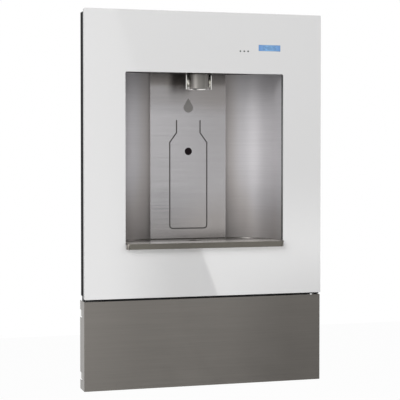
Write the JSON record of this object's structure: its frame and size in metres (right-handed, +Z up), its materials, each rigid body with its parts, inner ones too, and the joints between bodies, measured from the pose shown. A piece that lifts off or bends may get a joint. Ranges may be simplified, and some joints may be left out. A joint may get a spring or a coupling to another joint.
{
  "type": "bottle filling station",
  "caption": "Wall-built bottle filling station: glass front, steel alcove with sensor outlet and drain, and a hinged filter door.",
  "frame": {"origin": "centre of the four stud screw holes, on the back face of the wall box's flange, which is the face of the wall", "axes": "+Z up, the front faces -Y, +X to the right seen from the front"},
  "size_m": [0.438, 0.148, 0.664],
  "materials": {
    "white_glass": "back-painted white glass, polished",
    "black_frame": "black powder coat, satin",
    "galvanised": "galvanised sheet steel",
    "brushed_liner": "stainless steel, brushed upright",
    "brushed_column": "stainless steel, brushed across",
    "brushed_sill": "stainless steel, brushed across",
    "brushed_door": "stainless steel, brushed across",
    "satin_nickel": "satin nickel",
    "polished_steel": "polished steel",
    "zinc_plate": "bright zinc plate",
    "brass": "cast and turned brass",
    "handle_blue": "moulded blue",
    "black_plastic": "moulded black",
    "grey_plastic": "moulded grey",
    "white_plastic": "moulded white",
    "head_plastic": "moulded blue grey",
    "aerator_plastic": "moulded light grey",
    "sensor_black": "infrared window",
    "button_red": "moulded red",
    "black_rubber": "moulded rubber",
    "pad_foam": "foam tape",
    "blue_tube": "extruded blue tube",
    "clear_tube": "extruded natural tube",
    "lead_jacket": "lead jackets",
    "circuit_board": "green solder mask",
    "lcd_glass": "lit blue display window",
    "lcd_case": "display module case",
    "led_lens": "status lens",
    "transformer_core": "varnished core"
  },
  "bodies": {
    "housing": {"glass_panel": "white_glass", "face_frame": "black_frame", "wall_box": "galvanised", "valve_bracket": "galvanised", "filter_bracket": "galvanised", "power_box": "galvanised", "power_cover": "galvanised", "alcove_liner": "brushed_liner", "alcove_column": "brushed_column", "sill_tray": "brushed_sill", "nozzle_body": "satin_nickel", "nozzle_guard": "polished_steel", "drain_body": "polished_steel", "frame_screws": "zinc_plate", "column_nuts": "zinc_plate", "sensor_nut": "zinc_plate", "nozzle_nut": "zinc_plate", "valve_spring": "zinc_plate", "button_spring": "zinc_plate", "hinge_brackets": "zinc_plate", "hinge_pins": "zinc_plate", "shutoff_body": "brass", "valve_body": "brass", "alcove_ceiling": "black_plastic", "sensor_body": "black_plastic", "valve_coil": "black_plastic", "display_carrier": "black_plastic", "magnet_catches": "black_plastic", "control_tray": "grey_plastic", "control_lid": "grey_plastic", "outlet_elbow": "white_plastic", "drain_tailpiece": "white_plastic", "drain_slip_nut": "white_plastic", "filter_head": "head_plastic", "nozzle_aerator": "aerator_plastic", "sensor_lens": "sensor_black", "wall_box_grommets": "black_rubber", "window_gasket": "black_rubber", "drain_gasket": "black_rubber", "glass_pads": "pad_foam", "supply_tube": "blue_tube", "filtered_tube": "clear_tube", "outlet_tube": "clear_tube", "harness": "lead_jacket", "control_board": "circuit_board", "display_board": "circuit_board", "display_window": "lcd_glass", "display_module": "lcd_case", "status_lenses": "led_lens", "transformer": "transformer_core"},
    "door": {"door_pan": "brushed_door", "door_stiffener": "galvanised", "hinge_ears": "zinc_plate", "strike_plates": "zinc_plate"},
    "cartridge": {"filter_cartridge": "white_plastic", "filter_o_rings": "black_rubber"},
    "stop_handle": {"shutoff_handle": "handle_blue"},
    "plunger": {"valve_plunger": "zinc_plate"},
    "button": {"reset_button": "button_red"},
    "strainer": {"drain_strainer": "polished_steel"}
  },
  "joints": [
    {"name": "door_swing", "type": "hinge", "parent": "housing", "child": "door", "pos_m": [-0.214, -0.016, -0.254], "axis": [0, 0, -1], "range_deg": [0, 100]},
    {"name": "cartridge_twist", "type": "hinge", "parent": "housing", "child": "cartridge", "pos_m": [0.088, 0.008, -0.245], "axis": [1, 0, 0], "range_deg": [0, 90]},
    {"name": "stop_turn", "type": "hinge", "parent": "housing", "child": "stop_handle", "pos_m": [-0.15, 0, -0.235], "axis": [0, 1, 0], "range_deg": [0, 90]},
    {"name": "plunger_lift", "type": "slide", "parent": "housing", "child": "plunger", "axis": [0, 0, 1], "range_m": [0, 0.0025], "stiffness_N_per_m": 200, "springref_m": -0.004, "deforming": ["valve_spring"]},
    {"name": "button_press", "type": "slide", "parent": "housing", "child": "button", "axis": [0, 0, 1], "range_m": [0, 0.0012], "stiffness_N_per_m": 300, "springref_m": -0.002, "deforming": ["button_spring"]},
    {"name": "strainer_lift", "type": "slide", "parent": "housing", "child": "strainer", "axis": [0, 0, 1], "range_m": [0, 0.04]}
  ]
}
